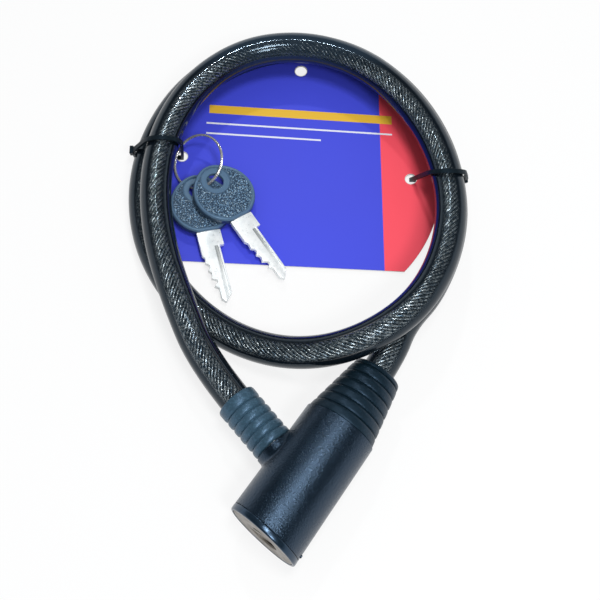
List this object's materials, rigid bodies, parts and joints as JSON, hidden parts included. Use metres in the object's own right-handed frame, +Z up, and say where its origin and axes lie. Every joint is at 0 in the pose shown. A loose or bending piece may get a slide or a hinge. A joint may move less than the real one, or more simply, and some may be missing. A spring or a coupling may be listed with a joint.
{
  "type": "keyed cable lock on a display card",
  "caption": "Coiled steel cable with a clear jacket whose plugged end locks into a keyed cylindrical head, tied to a round hang card with its keys on a ring.",
  "frame": {"origin": "centre of the cable loop, on the surface the lock lies on", "axes": "+X to the right of the card, +Y towards its hang hole, +Z up away from the surface; the lock head lies towards -Y"},
  "size_m": [0.1359, 0.2221, 0.0323],
  "materials": {
    "housing": "fine moulded grain, near black",
    "cap": "smooth, glossy black",
    "face": "dull nickel, warm grey",
    "case_metal": "cast metal, unpainted; stands for die-cast zinc",
    "brass": "stamped brass",
    "steel": "turned steel",
    "boot": "matte black rubber with a bluish sheen",
    "jacket": "smoky clear, glossy",
    "rope": "galvanised twisted strands",
    "nickel": "bright nickel plate",
    "bow": "pebble-grained black",
    "tie": "smooth black nylon",
    "card": "printed card, blue with a red side"
  },
  "bodies": {
    "coil": {"cable_loop_jacket": "jacket", "cable_loop_core": "rope", "plug_pin": "steel", "plug_ferrule": "steel", "plug_boot": "boot", "display_card": "card", "tie_left": "tie", "tie_right": "tie"},
    "lock_head": {"housing_shell": "housing", "end_cap": "cap", "face_plate": "face", "lock_case": "case_metal", "retaining_pin": "steel", "fixed_ferrule": "steel", "ferrule_roll_pin": "steel", "tail_boot": "boot", "cable_end_jacket": "jacket", "cable_end_core": "rope"},
    "cylinder": {"cylinder_plug": "face", "wafers": "brass", "wafer_springs": "steel", "cam_tail": "steel"},
    "ring": {"key_ring": "nickel"},
    "key_1": {"key_1_blade": "nickel", "key_1_bow": "bow"},
    "key_2": {"key_2_blade": "nickel", "key_2_bow": "bow"}
  },
  "joints": [
    {"name": "head_slide", "type": "slide", "parent": "coil", "child": "lock_head", "axis": [0.6428, -0.766, 0], "range_m": [0, 0.024], "deforming": ["cable_end_jacket", "cable_end_core"]},
    {"name": "cylinder_turn", "type": "hinge", "parent": "lock_head", "child": "cylinder", "pos_m": [-0.01228, -0.12968, 0.01445], "axis": [0.5707, 0.8211, 0], "range_deg": [0, 90]},
    {"name": "ring_swing", "type": "hinge", "parent": "coil", "child": "ring", "pos_m": [-0.0479, 0.02544, 0.00863], "axis": [0, 0, 1], "range_deg": [-2, 40]},
    {"name": "key_1_swing", "type": "hinge", "parent": "ring", "child": "key_1", "pos_m": [-0.03342, 0.01099, 0.00947], "axis": [0.2192, 0.0197, 0.9755], "range_deg": [-15, 5]},
    {"name": "key_2_swing", "type": "hinge", "parent": "ring", "child": "key_2", "pos_m": [-0.04054, 0.00852, 0.00603], "axis": [0.1553, 0.0069, 0.9878], "range_deg": [-4, 9]}
  ]
}
